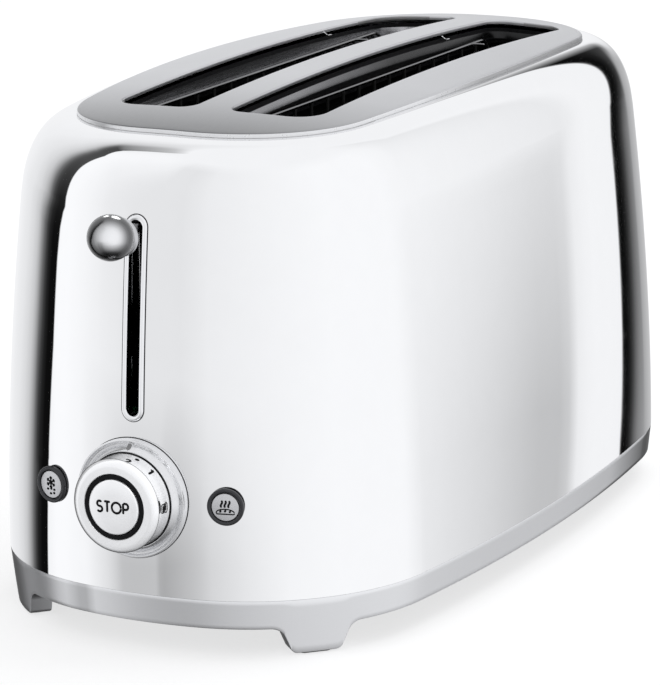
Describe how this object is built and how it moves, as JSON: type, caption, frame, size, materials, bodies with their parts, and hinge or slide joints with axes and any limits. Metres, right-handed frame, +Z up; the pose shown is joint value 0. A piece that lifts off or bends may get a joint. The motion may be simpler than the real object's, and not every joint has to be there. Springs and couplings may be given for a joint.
{
  "type": "toaster",
  "caption": "Long-slot toaster with a rounded polished body, sprung lever carriage, hinged bread guides, browning dial, push buttons and a slide-out crumb tray.",
  "frame": {"origin": "on the standing surface, below the middle of the whole length and width, ball grip and tray lip included", "axes": "+Z up, -Y towards the control end with the lever, +X to the right when facing the control end"},
  "size_m": [0.2046, 0.41, 0.2153],
  "materials": {
    "polished_shell": "polished",
    "top_plate_satin": "satin",
    "plinth_cast": "satin",
    "zinc_sheet": "zinc plated",
    "bright_reflector": "bright",
    "drawn_rod": "drawn",
    "spring_steel": "bright wire",
    "rack_steel": "plated",
    "magnet_iron": "ground",
    "coil_tape": "taped winding",
    "dark_ball": "satin",
    "bright_collar": "polished",
    "bezel_metal": "satin",
    "dial_satin": "satin with printed marks",
    "black_gloss": "gloss",
    "cap_silver": "satin with printed marks",
    "ring_grey": "dark polished",
    "board_green": "lacquered",
    "black_moulding": "matte",
    "white_moulding": "matte",
    "tray_steel": "satin",
    "rubber_pad": "matte",
    "mica_sheet": "mica",
    "ribbon_alloy": "dull"
  },
  "bodies": {
    "body": {"outer_shell": "polished_shell", "top_plate": "top_plate_satin", "plinth": "plinth_cast", "bottom_plate": "zinc_sheet", "chassis_front": "zinc_sheet", "chassis_rear": "zinc_sheet", "centre_divider": "zinc_sheet", "guide_rods": "drawn_rod", "rod_bracket": "zinc_sheet", "return_spring": "spring_steel", "magnet_core": "magnet_iron", "magnet_coil": "coil_tape", "lever_trim": "polished_shell", "dial_bezel": "bezel_metal", "dial_sensor": "black_moulding", "control_board": "board_green", "board_posts": "white_moulding", "button_switches": "black_moulding", "tray_rails": "zinc_sheet", "chassis_screws": "drawn_rod", "plinth_screws": "drawn_rod", "cord_gland": "black_moulding", "terminal_block": "black_moulding", "defrost_ring": "ring_grey", "reheat_ring": "ring_grey", "foot_pad_front_left": "rubber_pad", "foot_pad_front_right": "rubber_pad", "foot_pad_rear_left": "rubber_pad", "foot_pad_rear_right": "rubber_pad", "side_reflector_left": "bright_reflector", "side_reflector_right": "bright_reflector", "slot_liner_left": "zinc_sheet", "slot_liner_right": "zinc_sheet", "heating_board_left_inner": "mica_sheet", "heating_board_left_outer": "mica_sheet", "heating_board_right_inner": "mica_sheet", "heating_board_right_outer": "mica_sheet", "heating_ribbon_left_inner": "ribbon_alloy", "heating_ribbon_left_outer": "ribbon_alloy", "heating_ribbon_right_inner": "ribbon_alloy", "heating_ribbon_right_outer": "ribbon_alloy"},
    "carriage": {"carriage": "zinc_sheet", "lever_arm": "zinc_sheet", "lever_collar": "bright_collar", "lever_ball": "dark_ball", "bread_rack_left": "rack_steel", "bread_rack_right": "rack_steel", "keeper_plate": "magnet_iron"},
    "dial": {"dial_skirt": "dial_satin", "dial_ring": "bright_collar", "dial_insert": "black_gloss"},
    "stop_button": {"stop_button": "cap_silver"},
    "defrost_button": {"defrost_button": "cap_silver"},
    "reheat_button": {"reheat_button": "cap_silver"},
    "crumb_tray": {"crumb_tray": "tray_steel"},
    "bread_guide_left_inner": {"bread_guide_left_inner": "spring_steel"},
    "bread_guide_left_outer": {"bread_guide_left_outer": "spring_steel"},
    "bread_guide_right_inner": {"bread_guide_right_inner": "spring_steel"},
    "bread_guide_right_outer": {"bread_guide_right_outer": "spring_steel"}
  },
  "joints": [
    {"name": "carriage_slide", "type": "slide", "parent": "body", "child": "carriage", "axis": [0, 0, 1], "range_m": [-0.072, 0], "stiffness_N_per_m": 90, "springref_m": 0.08, "deforming": ["return_spring"]},
    {"name": "bread_guide_left_inner_pivot", "type": "hinge", "parent": "body", "child": "bread_guide_left_inner", "pos_m": [-0.011, 0.01728, 0.044], "axis": [0, 1, 0], "range_deg": [-4.5, 0]},
    {"name": "bread_guide_left_outer_pivot", "type": "hinge", "parent": "body", "child": "bread_guide_left_outer", "pos_m": [-0.0444, 0.01728, 0.044], "axis": [0, 1, 0], "range_deg": [0, 4.5]},
    {"name": "bread_guide_right_inner_pivot", "type": "hinge", "parent": "body", "child": "bread_guide_right_inner", "pos_m": [0.011, 0.01728, 0.044], "axis": [0, 1, 0], "range_deg": [0, 4.5]},
    {"name": "bread_guide_right_outer_pivot", "type": "hinge", "parent": "body", "child": "bread_guide_right_outer", "pos_m": [0.0444, 0.01728, 0.044], "axis": [0, 1, 0], "range_deg": [-4.5, 0]},
    {"name": "dial_turn", "type": "hinge", "parent": "body", "child": "dial", "pos_m": [0, -0.18372, 0.0642], "axis": [0, 1, 0], "range_deg": [-42.5, 192.5]},
    {"name": "stop_press", "type": "slide", "parent": "body", "child": "stop_button", "axis": [0, 1, 0], "range_m": [0, 0.0015], "stiffness_N_per_m": 500, "springref_m": -0.003},
    {"name": "defrost_press", "type": "slide", "parent": "body", "child": "defrost_button", "axis": [0.2231, 0.9748, 0], "range_m": [0, 0.0015], "stiffness_N_per_m": 500, "springref_m": -0.003},
    {"name": "reheat_press", "type": "slide", "parent": "body", "child": "reheat_button", "axis": [-0.2231, 0.9748, 0], "range_m": [0, 0.0015], "stiffness_N_per_m": 500, "springref_m": -0.003},
    {"name": "crumb_tray_slide", "type": "slide", "parent": "body", "child": "crumb_tray", "axis": [0, 1, 0], "range_m": [0, 0.24]}
  ],
  "couplings": [
    {"joint": "bread_guide_left_inner_pivot", "follows": "carriage_slide", "rad_per_m": 1.09},
    {"joint": "bread_guide_left_outer_pivot", "follows": "carriage_slide", "rad_per_m": -1.09},
    {"joint": "bread_guide_right_inner_pivot", "follows": "carriage_slide", "rad_per_m": -1.09},
    {"joint": "bread_guide_right_outer_pivot", "follows": "carriage_slide", "rad_per_m": 1.09}
  ]
}
